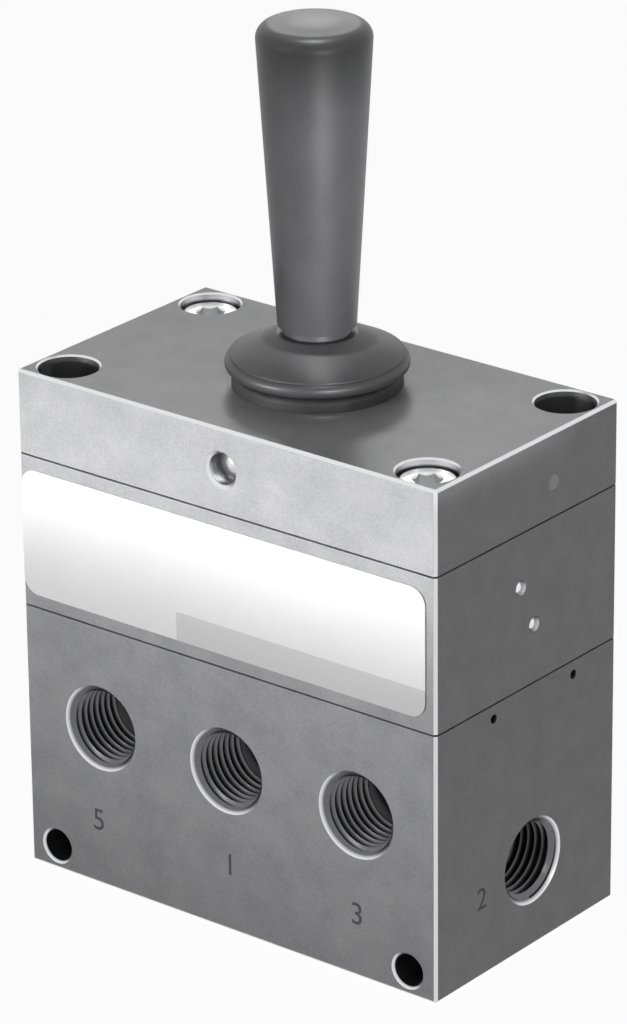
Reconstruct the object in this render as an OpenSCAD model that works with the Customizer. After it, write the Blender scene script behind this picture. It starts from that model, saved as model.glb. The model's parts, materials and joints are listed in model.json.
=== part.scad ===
// Toggle lever valve: a hand-operated air valve with five ports in a stacked block.
// Tilting the lever to one side presses a pilot plunger, and the pilot air drives
// the piston of the main poppet on that side down by its stroke.
// Millimetres. Origin at the bottom centre of the block, +Z up, ports of the front face at -Y.

/* [Block] */
// Width of the block from side face to side face
body_w = 80; // [76:0.5:100]
// Depth of the block from front face to back face
body_d = 45; // [42:0.5:60]
// Height of the bottom block, the valve body
body_h = 44; // [43.5:0.5:60]
// Height of the middle block, which holds the pilot valves
pilot_h = 24.9; // [24:0.1:36]
// Height of the cover plate
cover_h = 13.5; // [13.2:0.1:20]
// Thickness of each gasket
gasket_t = 0.3; // [0.2:0.05:0.6]
// Distance from the block's edge to the gasket's edge
gasket_inset = 0.35; // [0.1:0.05:1]
// Chamfer on the edges of the blocks
edge_chamfer = 0.5; // [0.2:0.1:0.8]

/* [Air ports] */
// Major diameter of the port thread
port_d = 13.16; // [11:0.02:13.4]
// Diameter of the chamfer at a port's mouth
port_mouth_d = 14.2; // [13.8:0.1:14.6]
// Depth of the threaded part of a port
port_depth = 12; // [8:0.5:12]
// Distance between neighbouring ports of the front face
port_pitch = 25; // [24:0.5:26]
// Height of the front ports above the base
front_port_z = 27; // [26.5:0.5:28]
// Height of the side ports above the base
side_port_z = 14.5; // [14.3:0.1:15.5]
// Diameter of the passage behind a front port
passage_d = 8; // [6:0.5:8.5]
// Diameter of the passage behind a side port
work_passage_d = 6; // [5:0.2:6.4]

/* [Mounting holes] */
// Diameter of the two holes that run from front to back
mount_hole_d = 5.3; // [4.5:0.1:5.5]
// Distance from a side face to the axis of a mounting hole
mount_inset = 5.4; // [5:0.1:6]
// Height of the mounting holes above the base
mount_hole_z = 4; // [3.8:0.1:4.2]

/* [Block screws] */
// Thread diameter of the four screws that clamp the stack
screw_d = 5; // [4:0.5:5.5]
// Head diameter of a screw
screw_head_d = 8.5; // [8:0.1:9]
// Head height of a screw
screw_head_h = 5; // [4:0.1:5]
// Key size of a screw's hexagon socket, across flats
screw_key = 4; // [3:0.5:4.5]
// Diameter of the wells in which the heads sit
well_d = 9.5; // [9.4:0.1:10]
// Distance from a side face to a screw's axis
screw_inset_x = 5.7; // [5.4:0.1:6.2]
// Distance from the front or back face to a screw's axis
screw_inset_y = 5.6; // [5.4:0.1:6]
// Shank length of the two screws whose heads sit in the cover plate
long_screw_l = 40; // [35:5:40]
// Shank length of the two screws whose heads sit in the middle block
short_screw_l = 30; // [30:1:32]
// Depth of a long screw's head below the top face
head_sink = 1.3; // [0.5:0.1:2.5]
// Depth to which the short screws' heads are sunk into the middle block
deep_sink = 3; // [1:0.5:4]

/* [Main poppets] */
// Distance from the block's centre to each valve bore
bore_x = 18; // [17.5:0.1:19]
// Distance of the valve bores and side ports behind the middle of the block
valve_y = 1.6; // [0:0.1:2]
// Diameter of the operating cylinder
cylinder_d = 24; // [20:0.5:24.5]
// Height of the operating cylinder in the middle block
cylinder_h = 8.7; // [8.2:0.1:9]
// Height of the piston
piston_h = 5; // [4.6:0.1:5.4]
// Travel of a poppet from closed to open
poppet_stroke = 2; // [1.2:0.1:2]
// Diameter of the exhaust chamber around the upper disc
exhaust_chamber_d = 14; // [13.4:0.2:15]
// Diameter of the supply chamber around the lower disc
supply_chamber_d = 15; // [14:0.2:15.4]
// Diameter of the seat bore between the two chambers
seat_d = 9; // [8:0.2:9.6]
// Width of land between the side passage and each seat
seat_land = 0.4; // [0.2:0.1:0.6]
// Diameter of the poppet stem
stem_d = 5; // [4:0.2:5.4]
// Diameter of the poppet discs
disc_d = 12; // [11:0.2:12.4]
// Thickness of the metal part of a disc
disc_t = 1.7; // [1.4:0.1:1.8]
// Thickness of the rubber facing of a disc
facing_t = 1.5; // [1:0.1:1.6]

/* [Bushes and plugs] */
// Depth of the vented recess under each operating cylinder
recess_h = 4; // [3.8:0.1:5]
// Outside diameter of the stem's guide bush
bush_d = 17; // [16:0.2:18]
// Length of the guide bush
bush_l = 5.8; // [5.4:0.1:6.4]
// Thickness of the retaining ring above the bush
clip_t = 1; // [0.8:0.1:1.2]
// Diameter of the bottom plugs
plug_d = 16; // [15.6:0.1:17]
// Length of the bottom plugs
plug_l = 4.7; // [4.4:0.1:4.8]
// Depth of a bottom plug below the base
plug_sink = 0.3; // [0.1:0.1:0.5]
// Key size of a bottom plug's socket, across flats
plug_key = 5; // [4:0.5:6]
// Diameter of the supply gallery down the middle of the body
gallery_d = 8; // [6:0.5:8]
// Diameter of the slanted drillings from the gallery to the supply chambers
slant_d = 4.4; // [3:0.2:4.4]
// Diameter of the four vents below the body's top edge
vent_d = 1.5; // [1:0.1:2]
// Distance of the vents in front of and behind the valve bores' axes
vent_y = 10; // [8:0.5:10.5]

/* [Pilot valves] */
// Distance from the block's centre to each pilot valve
pilot_x = 10; // [9:0.2:11]
// Outside diameter of a pilot sleeve
sleeve_d = 10; // [9.6:0.1:10.4]
// Length of a pilot sleeve
sleeve_l = 13.8; // [13.6:0.1:14]
// Diameter of a pilot plunger
plunger_d = 5; // [4.6:0.1:5.2]
// Diameter of the collar that the pilot spring lifts
collar_d = 8; // [7.6:0.1:8.4]
// Diameter of the pilot drillings
pilot_drill_d = 2; // [1.4:0.1:2]
// Diameter of the steel balls that close the pilot drillings
ball_d = 2.5; // [2:0.1:3]
// Distance of the supply drilling in front of the pilot valves' axes
supply_drill_gap = 3.4; // [3.2:0.1:3.8]

/* [Lever] */
// Largest tilt of the lever to either side, in degrees
lever_tilt = 8; // [5:0.5:8]
// Distance of the lever behind the middle of the block
lever_y = 0.7; // [0:0.1:1]
// Depth of the pivot axis below the top face
pivot_drop = 6.7; // [6.6:0.1:7]
// Diameter of the pivot pin
pin_d = 5; // [4:0.2:5]
// Depth of the pin's front end below the front face
pin_recess = 2.2; // [1:0.1:4]
// Wall left behind the pin's back end
pin_back_wall = 6; // [4:0.5:8]
// Diameter of the rocker's hub
hub_d = 8; // [7.6:0.1:8.2]
// Length of the rocker's hub along the pin
hub_l = 12; // [9:0.5:13]
// Distance from the pivot to the tip of each rocker arm
arm_l = 13; // [12.6:0.1:13.6]
// Width of the rocker arms along the pin
arm_w = 7; // [5:0.5:9]
// Diameter of the boss that carries the lever's rod
boss_d = 9.8; // [9:0.2:10]
// Diameter of the lever's rod
rod_d = 8; // [7:0.2:8.4]
// Diameter of the skirt at its rim
skirt_d = 28; // [27.6:0.2:31]
// Height of the skirt's rounded rim
rim_h = 2.45; // [2:0.05:3]
// Height of the skirt's cone
cone_h = 3.4; // [3:0.1:4.5]
// Thickness of the skirt over its hollow, measured at the rod
skirt_roof = 1.9; // [1.5:0.1:2.2]
// Height of the rubber ring below the skirt
ring_h = 2.2; // [1.5:0.1:2.3]
// Length of the handle
handle_l = 47.6; // [40:0.2:80]
// Diameter of the handle at its lower end
handle_low_d = 12; // [11.6:0.2:15]
// Diameter of the handle near its top
handle_top_d = 17.7; // [16:0.1:22]
// Radius of the handle's top edge
handle_edge_r = 2.5; // [1.5:0.1:4]
// Length of rod inside the handle
rod_in_handle = 36; // [20:1:38]

/* [Label] */
// Thickness of the label on the middle block
label_t = 0.25; // [0.1:0.05:0.4]
// Distance from the label to the left edge of the face
label_left = 0.6; // [0.5:0.1:4]
// Distance from the label to the right edge of the face
label_right = 1.8; // [0.5:0.1:4]
// Distance from the label to the block's lower and upper edges
label_margin = 2.1; // [1:0.1:5]
// Radius of the label's corners
label_corner_r = 2.7; // [1:0.1:4]

/* [Fits] */
// Radial clearance of a piece that turns or slides in a bore
run_gap = 0.05; // [0.02:0.01:0.1]
// Gap between pieces that are pressed, screwed or laid together
seat_gap = 0.02; // [0.01:0.01:0.05]
// Radial clearance of a screw in a through hole
screw_gap = 0.15; // [0.1:0.05:0.3]
// Gap between a rocker arm and the plunger under it
contact_gap = 0.1; // [0.08:0.01:0.2]
// Section diameter of the sealing rings
ring_section = 1; // [0.8:0.05:1]

/* [Hidden] */

$fn = 64;
// Overrun of a cutting shape past the face that it cuts
cut = 1;
left = -1;
right = 1;

// Levels of the stack
pilot_z = body_h + gasket_t;
pilot_top = pilot_z + pilot_h;
cover_z = pilot_top + gasket_t;
top_z = cover_z + cover_h;
front_y = -body_d / 2;

// Screw places: the long ones stand front right and back left, the short ones the other way
screw_x = body_w / 2 - screw_inset_x;
screw_y = body_d / 2 - screw_inset_y;
long_places = [[screw_x, -screw_y], [-screw_x, screw_y]];
short_places = [[-screw_x, -screw_y], [screw_x, screw_y]];
long_head_z = top_z - head_sink - screw_head_h;
short_head_z = pilot_top - deep_sink;
tap_floor = min(long_head_z - long_screw_l, short_head_z - short_screw_l) - 1.5;

// Seats and chambers of the main poppets
exhaust_seat_z = side_port_z + work_passage_d / 2 + seat_land;
supply_seat_z = side_port_z - work_passage_d / 2 - seat_land;
recess_floor = body_h - recess_h;
clip_z = recess_floor - clip_t - 0.2;
bush_z = clip_z - bush_l;
clip_groove_d = bush_d + 1.6;
plug_top = plug_sink + plug_l;
plug_well_z = plug_top - 1.7;
plug_well_d = 10.4;
supply_disc_z = supply_seat_z - seat_gap - facing_t - disc_t;
exhaust_disc_z = exhaust_seat_z + poppet_stroke + facing_t;
stem_foot = 0.5;
cylinder_roof = pilot_z + cylinder_h;
piston_rest_gap = 1.4;
piston_top = cylinder_roof - piston_rest_gap;
piston_z = piston_top - piston_h;
stem_neck_d = stem_d - 1;
nut_h = 2.2;
nut_key = 7;
nut_well_d = 9;
lip_groove_z = piston_z + 1.5;
lip_h = 2;
lip_depth = 2;

// Depth to which a sealing ring's groove is cut
groove_depth = ring_section;
groove_w = ring_section * 1.4;
bush_ring_z = bush_z + bush_l / 2;
plug_ring_z = plug_top - 1.4;

// The slanted drilling passes this height at the wall of the supply chamber
slant_z = plug_top + slant_d * 0.63;
slant_angle = 38;

// Levels inside a pilot valve
sleeve_z = pilot_top - sleeve_l;
lower_ring_z = sleeve_z + 3.4;
supply_level = lower_ring_z + 1.8;
upper_ring_z = supply_level + 1.8;
cross_hole_z = upper_ring_z + 0.7;
annulus_h = 1.8;
annulus_d = sleeve_d - 1.6;
outer_ring_step = 1.6;
output_level = cylinder_roof + 0.6;
supply_drill_y = valve_y - supply_drill_gap;
riser_y = supply_drill_y + 1.4;
riser_d = 3.2;

// Lever levels
pivot_z = top_z - pivot_drop;
rocker_under_z = pivot_z - 2;
plunger_top = rocker_under_z - contact_gap;
plunger_foot = sleeve_z + pilot_x * tan(lever_tilt) + 0.2;
dome_r = 3;
collar_z = plunger_top - 2.2;
collar_t = 1;
cavity_roof = pivot_z + hub_d / 2 + 0.2;
cavity_x = arm_l + 2;
cavity_y = hub_l / 2 + 1.5;
boss_top = top_z + 1.4;
stud_d = rod_d - 2;
stud_z = pivot_z + pin_d / 2 + 0.5;
neck_r = boss_d / 2 + pivot_drop * tan(lever_tilt) + 1.15;
rim_gap = 0.5;
skirt_r = skirt_d / 2;
skirt_z = pivot_z + (pivot_drop + rim_gap + skirt_r * sin(lever_tilt)) / cos(lever_tilt);
handle_z = skirt_z + rim_h + cone_h;
ring_r = skirt_r - 1;
hollow_r = sqrt(pow(ring_r, 2) + pow(ring_h + pivot_drop, 2)) + 0.35;
hollow_roof = handle_z - skirt_roof;
collar_seat_r = 6;

// Springs: wire, mean radius and turns, and the depth to which the balls are pressed
poppet_wire = 0.7;
poppet_spring_r = plug_well_d / 2 - 0.8;
poppet_turns = 3.2;
pilot_wire = 0.45;
pilot_spring_r = collar_d / 2 - 0.6;
pilot_turns = 3;
ball_sink = 0.2;

// Plug of the cover plate's drilling, in its right face
plug_mark_y = 6.3;
plug_mark_drop = 8.1;

// Points on an arc about (cx, cy), from angle a to angle b
function arc(cx, cy, r, a, b, n) =
    [for (i = [0 : n]) let (t = a + (b - a) * i / n) [cx + r * cos(t), cy + r * sin(t)]];

// Box centred in X and Y, with chamfered upright edges and chamfered top and bottom edges
module chamfered_block(w, d, h, c_side, c_top, c_bottom) {
    intersection() {
        linear_extrude(h) polygon([
            [-w / 2 + c_side, -d / 2], [w / 2 - c_side, -d / 2],
            [w / 2, -d / 2 + c_side], [w / 2, d / 2 - c_side],
            [w / 2 - c_side, d / 2], [-w / 2 + c_side, d / 2],
            [-w / 2, d / 2 - c_side], [-w / 2, -d / 2 + c_side]]);
        rotate([90, 0, 0]) linear_extrude(d + 2 * cut, center = true)
            chamfered_side(w, h, c_top, c_bottom);
        rotate([90, 0, 90]) linear_extrude(w + 2 * cut, center = true)
            chamfered_side(d, h, c_top, c_bottom);
    }
}

module chamfered_side(w, h, c_top, c_bottom) {
    polygon([[-w / 2 + c_bottom, 0], [w / 2 - c_bottom, 0],
        [w / 2, c_bottom], [w / 2, h - c_top], [w / 2 - c_top, h],
        [-w / 2 + c_top, h], [-w / 2, h - c_top], [-w / 2, c_bottom]]);
}

// Upright bore from z1 to z2
module bore(x, y, d, z1, z2) {
    translate([x, y, z1]) cylinder(d = d, h = z2 - z1);
}

// Port with its thread bore and mouth chamfer, drilled along +Y from the origin
module port() {
    mouth = (port_mouth_d - port_d) / 2;
    rotate([-90, 0, 0]) {
        translate([0, 0, -cut]) cylinder(d = port_d, h = port_depth + cut);
        translate([0, 0, -0.01]) cylinder(d1 = port_mouth_d + 0.02, d2 = port_d, h = mouth + 0.01);
    }
}

module hex_hole(key, depth) {
    cylinder(d = key / cos(30), h = depth, $fn = 6);
}

// Sealing ring about the Z axis, touching the inner or outer wall with the seat gap
module seal_ring(mid_r, z) {
    rotate_extrude() translate([mid_r, z]) circle(d = ring_section - 2 * seat_gap, $fn = 24);
}

// Groove around the Z axis between two radii
module groove(r1, r2, z, w) {
    translate([0, 0, z - w / 2]) difference() {
        cylinder(r = r2, h = w);
        translate([0, 0, -cut]) cylinder(r = r1, h = w + 2 * cut);
    }
}

// Socket head cap screw, head upwards, with its seat at z = 0
module cap_screw(shank) {
    c = 0.5;
    difference() {
        rotate_extrude() polygon([[0, -shank], [screw_d / 2 - c, -shank],
            [screw_d / 2, -shank + c], [screw_d / 2, 0], [screw_head_d / 2, 0],
            [screw_head_d / 2, screw_head_h - c], [screw_head_d / 2 - c, screw_head_h],
            [0, screw_head_h]]);
        translate([0, 0, screw_head_h / 2]) hex_hole(screw_key, screw_head_h);
    }
}

// Round wire spring from z1 to z2 with flattened end turns
module coil_spring(mid_r, wire, z1, z2, turns) {
    sides = 8;
    per_turn = 16;
    flat = 0.6;
    n = round(turns * per_turn);
    lift = z2 - z1 - wire - 2 * seat_gap;
    function rise(t) = min(max((t - flat) / (turns - 2 * flat), 0), 1);
    points = [for (i = [0 : n]) let (t = turns * i / n, a = 360 * t)
        for (j = [0 : sides - 1]) let (b = 360 * j / sides, r = mid_r + wire / 2 * cos(b))
            [r * cos(a), r * sin(a),
            z1 + seat_gap + wire / 2 + lift * rise(t) + wire / 2 * sin(b)]];
    walls = [for (i = [0 : n - 1]) for (j = [0 : sides - 1]) let (k = (j + 1) % sides)
        [i * sides + j, i * sides + k, (i + 1) * sides + k, (i + 1) * sides + j]];
    first = [[for (j = [sides - 1 : -1 : 0]) j]];
    last = [[for (j = [0 : sides - 1]) n * sides + j]];
    polyhedron(points, concat(walls, first, last), convexity = 6);
}

// Bottom block with the five ports, the two valve bores and their passages
module valve_body() {
    color([0.52, 0.53, 0.54]) difference() {
        chamfered_block(body_w, body_d, body_h, edge_chamfer, 0, edge_chamfer);
        for (i = [-1 : 1]) translate([i * port_pitch, front_y, front_port_z]) {
            port();
            rotate([-90, 0, 0]) cylinder(d = passage_d, h = body_d / 2 + valve_y);
        }
        for (side = [left, right]) {
            side_port(side);
            valve_bore(side);
            mounting_hole(side);
            for (y = [-vent_y, vent_y]) vent(side, y);
        }
        bore(0, valve_y, gallery_d, slant_z + 5, body_h + cut);
        for (p = concat(long_places, short_places))
            bore(p[0], p[1], screw_d + 2 * seat_gap, tap_floor, body_h + cut);
    }
}

module side_port(side) {
    translate([side * body_w / 2, valve_y, side_port_z]) {
        rotate([0, 0, side * 90]) port();
        rotate([0, -side * 90, 0]) cylinder(d = work_passage_d, h = body_w / 2 - bore_x);
    }
}

// Stepped bore of one main poppet, from the plug at the base to the vented recess
module valve_bore(side) {
    x = side * bore_x;
    bore(x, valve_y, plug_d + 2 * seat_gap, -cut, plug_top + seat_gap);
    bore(x, valve_y, supply_chamber_d, 0, supply_seat_z);
    bore(x, valve_y, seat_d, 0, body_h);
    bore(x, valve_y, exhaust_chamber_d, exhaust_seat_z, body_h);
    bore(x, valve_y, bush_d, bush_z - seat_gap, body_h);
    bore(x, valve_y, clip_groove_d, clip_z, clip_z + clip_t);
    bore(x, valve_y, cylinder_d, recess_floor, body_h + cut);
    wall_x = side * (bore_x - supply_chamber_d / 2);
    translate([wall_x, valve_y, slant_z]) rotate([0, side * (slant_angle - 90), 0])
        translate([0, 0, -1]) cylinder(d = slant_d, h = abs(wall_x) / cos(slant_angle) + 1);
}

module mounting_hole(side) {
    c = 0.4;
    translate([side * (body_w / 2 - mount_inset), 0, mount_hole_z]) rotate([90, 0, 0]) {
        cylinder(d = mount_hole_d, h = body_d + 2 * cut, center = true);
        for (s = [0, 180]) rotate([s, 0, 0]) translate([0, 0, body_d / 2 - c])
            cylinder(d1 = mount_hole_d, d2 = mount_hole_d + 4 * c, h = 2 * c);
    }
}

module vent(side, y) {
    start = bore_x + sqrt(pow(cylinder_d / 2, 2) - pow(min(abs(y), cylinder_d / 2 - 1), 2)) - 1;
    translate([side * start, valve_y + y, body_h - recess_h / 2 - 0.2]) rotate([0, side * 90, 0])
        cylinder(d = vent_d, h = body_w / 2 - start + cut);
}

// Outline of a gasket with its screw holes
module gasket_sheet() {
    difference() {
        square([body_w - 2 * gasket_inset, body_d - 2 * gasket_inset], center = true);
        for (p = concat(long_places, short_places))
            translate(p) circle(d = screw_d + 2 * screw_gap);
    }
}

module body_gasket() {
    color([0.16, 0.16, 0.17]) translate([0, 0, body_h]) linear_extrude(gasket_t) difference() {
        gasket_sheet();
        translate([0, valve_y]) circle(d = gallery_d);
        for (side = [left, right]) translate([side * bore_x, valve_y]) circle(d = cylinder_d);
    }
}

// Middle block with the operating cylinders below and the pilot valves above
module pilot_block() {
    color([0.66, 0.67, 0.68]) difference() {
        translate([0, 0, pilot_z])
            chamfered_block(body_w, body_d, pilot_h, edge_chamfer, 0, 0);
        for (side = [left, right]) {
            bore(side * bore_x, valve_y, cylinder_d, pilot_z - cut, cylinder_roof);
            bore(side * pilot_x, valve_y, sleeve_d + 2 * seat_gap, sleeve_z - seat_gap, pilot_top + cut);
            bore(side * pilot_x, valve_y, riser_d * 0.75, output_level, sleeve_z);
            pilot_drilling(side, valve_y, output_level, pilot_x);
        }
        bore(0, riser_y, riser_d, pilot_z - cut, supply_level + riser_d / 2);
        pilot_drilling(right, supply_drill_y, supply_level, -pilot_x);
        for (p = long_places)
            bore(p[0], p[1], screw_d + 2 * screw_gap, pilot_z - cut, pilot_top + cut);
        for (p = short_places) {
            bore(p[0], p[1], screw_d + 2 * screw_gap, pilot_z - cut, pilot_top);
            bore(p[0], p[1], well_d, short_head_z, pilot_top + cut);
        }
    }
}

// Drilling from a side face to x = inner, with the seat of its ball at the mouth
module pilot_drilling(side, y, z, inner) {
    translate([side * body_w / 2, y, z]) rotate([0, -side * 90, 0]) {
        cylinder(d = pilot_drill_d, h = body_w / 2 - inner);
        translate([0, 0, -cut]) cylinder(d = ball_d + 2 * seat_gap, h = ball_d + cut);
    }
}

module ball_plugs() {
    places = [[right, valve_y, output_level], [left, valve_y, output_level],
        [right, supply_drill_y, supply_level]];
    color([0.86, 0.86, 0.87]) for (p = places)
        translate([p[0] * (body_w / 2 - ball_d / 2 - ball_sink), p[1], p[2]])
        sphere(d = ball_d, $fn = 32);
}

module cover_gasket() {
    color([0.16, 0.16, 0.17]) translate([0, 0, pilot_top]) linear_extrude(gasket_t) difference() {
        gasket_sheet();
        translate([0, lever_y]) square([2 * cavity_x, 2 * cavity_y], center = true);
        for (p = short_places) translate(p) circle(d = well_d);
    }
}

// Cover plate with the rocker's pocket, the neck hole, the screw wells and the pin bore
module cover_plate() {
    color([0.8, 0.81, 0.82]) difference() {
        translate([0, 0, cover_z])
            chamfered_block(body_w, body_d, cover_h, edge_chamfer, edge_chamfer, 0);
        translate([0, lever_y, cover_z - cut]) linear_extrude(cavity_roof - cover_z + cut)
            rounded_outline(2 * cavity_x, 2 * cavity_y, 2.5);
        bore(0, lever_y, 2 * neck_r, cavity_roof - cut, top_z + cut);
        for (p = long_places) {
            bore(p[0], p[1], screw_d + 2 * screw_gap, cover_z - cut, top_z);
            screw_well(p, long_head_z);
        }
        for (p = short_places) screw_well(p, cover_z - cut);
        translate([0, front_y, pivot_z]) rotate([-90, 0, 0]) {
            translate([0, 0, -cut])
                cylinder(d = pin_d + 2 * seat_gap, h = body_d - pin_back_wall + cut);
            translate([0, 0, -0.01]) cylinder(d1 = pin_d + 1.06, d2 = pin_d, h = 0.53);
        }
        translate([body_w / 2 - 3, plug_mark_y, top_z - plug_mark_drop]) rotate([0, 90, 0])
            cylinder(d = ball_d + 2 * seat_gap, h = 3 + cut);
    }
}

// Well for a screw head from z1 up, with its mouth chamfer
module screw_well(p, z1) {
    bore(p[0], p[1], well_d, z1, top_z + cut);
    translate([p[0], p[1], top_z - 0.3]) cylinder(d1 = well_d, d2 = well_d + 1.2, h = 0.6);
}

module rounded_outline(w, d, r) {
    polygon(concat(
        arc(w / 2 - r, d / 2 - r, r, 0, 90, 8), arc(r - w / 2, d / 2 - r, r, 90, 180, 8),
        arc(r - w / 2, r - d / 2, r, 180, 270, 8), arc(w / 2 - r, r - d / 2, r, 270, 360, 8)));
}

module cover_plug() {
    color([0.72, 0.73, 0.74]) translate([body_w / 2 - 3 + seat_gap, plug_mark_y, top_z - plug_mark_drop])
        rotate([0, 90, 0]) cylinder(d = ball_d, h = 3 - 2 * seat_gap);
}

// Thin label with rounded corners on the front of the middle block
module label_plate() {
    w = body_w - label_left - label_right;
    h = pilot_h - 2 * label_margin;
    color([0.96, 0.96, 0.96])
        translate([(label_left - label_right) / 2, front_y, pilot_z + pilot_h / 2])
        rotate([90, 0, 0]) linear_extrude(label_t) rounded_outline(w, h, label_corner_r);
}

module long_screws() {
    color([0.78, 0.79, 0.8]) for (p = long_places)
        translate([p[0], p[1], long_head_z]) cap_screw(long_screw_l);
}

module short_screws() {
    color([0.3, 0.3, 0.31]) for (p = short_places)
        translate([p[0], p[1], short_head_z]) cap_screw(short_screw_l);
}

// Rubber ring around the neck, with a rounded outer shoulder
module neck_ring() {
    e = ring_h * 0.45;
    color([0.1, 0.1, 0.11]) translate([0, lever_y, 0]) rotate_extrude() polygon(concat(
        [[neck_r, top_z], [ring_r, top_z]],
        arc(ring_r - e, top_z + ring_h - e, e, 0, 90, 6),
        [[neck_r + 0.6, top_z + ring_h], [neck_r, top_z + ring_h - 0.6]]));
}

module pivot_pin() {
    l = body_d - pin_recess - pin_back_wall - seat_gap;
    color([0.82, 0.82, 0.84]) translate([0, front_y + pin_recess, pivot_z]) rotate([-90, 0, 0])
        rotate_extrude() polygon(concat([[0, l], [0, 0]],
            arc(0, pin_d, pin_d, -90, -67, 4),
            [[pin_d / 2, 0.75], [pin_d / 2, l - 0.4], [pin_d / 2 - 0.4, l]]));
}

// Guide bush of a poppet stem, with grooves for its inner and outer rings
module guide_bush(side) {
    color([0.8, 0.66, 0.36]) translate([side * bore_x, valve_y, 0]) difference() {
        bore(0, 0, bush_d - 2 * seat_gap, bush_z, bush_z + bush_l);
        bore(0, 0, stem_d + 2 * run_gap, bush_z - cut, bush_z + bush_l + cut);
        groove(stem_d / 2, stem_d / 2 + groove_depth, bush_ring_z, groove_w);
        groove(bush_d / 2 - groove_depth, bush_d / 2 + cut, bush_ring_z, groove_w);
    }
}

module bush_rings(side) {
    color([0.08, 0.08, 0.08]) translate([side * bore_x, valve_y, 0]) {
        seal_ring(stem_d / 2 + ring_section / 2, bush_ring_z);
        seal_ring(bush_d / 2 - ring_section / 2, bush_ring_z);
    }
}

// Open retaining ring that holds the guide bush down
module bush_clip(side) {
    gap = 40;
    color([0.35, 0.35, 0.37]) translate([side * bore_x, valve_y, clip_z + seat_gap])
        rotate([0, 0, gap / 2]) rotate_extrude(angle = 360 - gap)
        translate([bush_d / 2 - 1.6, 0])
        square([clip_groove_d / 2 - bush_d / 2 + 1.6 - seat_gap, clip_t - 2 * seat_gap]);
}

// Screwed bottom plug with its key socket, its ring groove and the spring's seat
module bottom_plug(side) {
    color([0.62, 0.63, 0.65]) translate([side * bore_x, valve_y, 0]) difference() {
        bore(0, 0, plug_d, plug_sink, plug_top);
        bore(0, 0, plug_well_d, plug_well_z, plug_top + cut);
        groove(plug_d / 2 - groove_depth, plug_d / 2 + cut, plug_ring_z, groove_w);
        translate([0, 0, plug_sink - cut]) hex_hole(plug_key, cut + 1.8);
    }
}

module plug_ring(side) {
    color([0.08, 0.08, 0.08]) translate([side * bore_x, valve_y, 0])
        seal_ring(plug_d / 2 - ring_section / 2, plug_ring_z);
}

// Stem with a shoulder below the piston and a thread for its nut
module poppet_stem(side) {
    c = 0.3;
    color([0.75, 0.76, 0.78]) translate([side * bore_x, valve_y, 0]) rotate_extrude() polygon([
        [0, supply_disc_z - stem_foot], [stem_d / 2 - c, supply_disc_z - stem_foot],
        [stem_d / 2, supply_disc_z - stem_foot + c], [stem_d / 2, piston_z - seat_gap],
        [stem_neck_d / 2, piston_z - seat_gap], [stem_neck_d / 2, piston_top - c],
        [stem_neck_d / 2 - c, piston_top], [0, piston_top]]);
}

module piston(side) {
    c = 0.4;
    r = cylinder_d / 2 - run_gap;
    color([0.7, 0.71, 0.73]) translate([side * bore_x, valve_y, 0]) difference() {
        rotate_extrude() polygon([[stem_neck_d / 2 + seat_gap, piston_z], [r - c, piston_z],
            [r, piston_z + c], [r, piston_top - c], [r - c, piston_top],
            [nut_well_d / 2, piston_top], [nut_well_d / 2, piston_top - nut_h - seat_gap],
            [stem_neck_d / 2 + seat_gap, piston_top - nut_h - seat_gap]]);
        groove(r - lip_depth, r + cut, lip_groove_z + lip_h / 2, lip_h);
    }
}

// Lip seal of the piston, its open side towards the pressure above
module piston_lip(side) {
    r2 = cylinder_d / 2 - run_gap / 2;
    r1 = r2 - lip_depth + run_gap + seat_gap;
    z1 = lip_groove_z + seat_gap;
    z2 = lip_groove_z + lip_h - seat_gap;
    mid = (r1 + r2) / 2;
    color([0.08, 0.08, 0.08]) translate([side * bore_x, valve_y, 0]) rotate_extrude() polygon([
        [r1, z1], [r2 - 0.3, z1], [r2, z1 + 0.5], [r2, z2], [r2 - 0.4, z2],
        [mid, z2 - lip_h * 0.5], [r1 + 0.4, z2], [r1, z2]]);
}

module piston_nut(side) {
    color([0.78, 0.79, 0.8]) translate([side * bore_x, valve_y, piston_top - nut_h]) difference() {
        cylinder(d = nut_key / cos(30), h = nut_h - seat_gap, $fn = 6);
        translate([0, 0, -cut]) cylinder(d = stem_neck_d + 2 * seat_gap, h = nut_h + 2 * cut);
    }
}

// Washer around the stem, used for the discs and their rubber facings
module stem_washer(side, z, t) {
    translate([side * bore_x, valve_y, z]) difference() {
        cylinder(d = disc_d, h = t);
        translate([0, 0, -cut]) cylinder(d = stem_d + 2 * seat_gap, h = t + 2 * cut);
    }
}

module exhaust_disc(side) {
    color([0.8, 0.66, 0.36]) stem_washer(side, exhaust_disc_z, disc_t);
}

module exhaust_facing(side) {
    color([0.1, 0.1, 0.11]) stem_washer(side, exhaust_disc_z - facing_t, facing_t);
}

module supply_disc(side) {
    color([0.8, 0.66, 0.36]) stem_washer(side, supply_disc_z, disc_t);
}

module supply_facing(side) {
    color([0.1, 0.1, 0.11]) stem_washer(side, supply_disc_z + disc_t, facing_t);
}

module poppet_spring(side) {
    color([0.6, 0.61, 0.63]) translate([side * bore_x, valve_y, 0])
        coil_spring(poppet_spring_r, poppet_wire, plug_well_z, supply_disc_z, poppet_turns);
}

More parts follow.
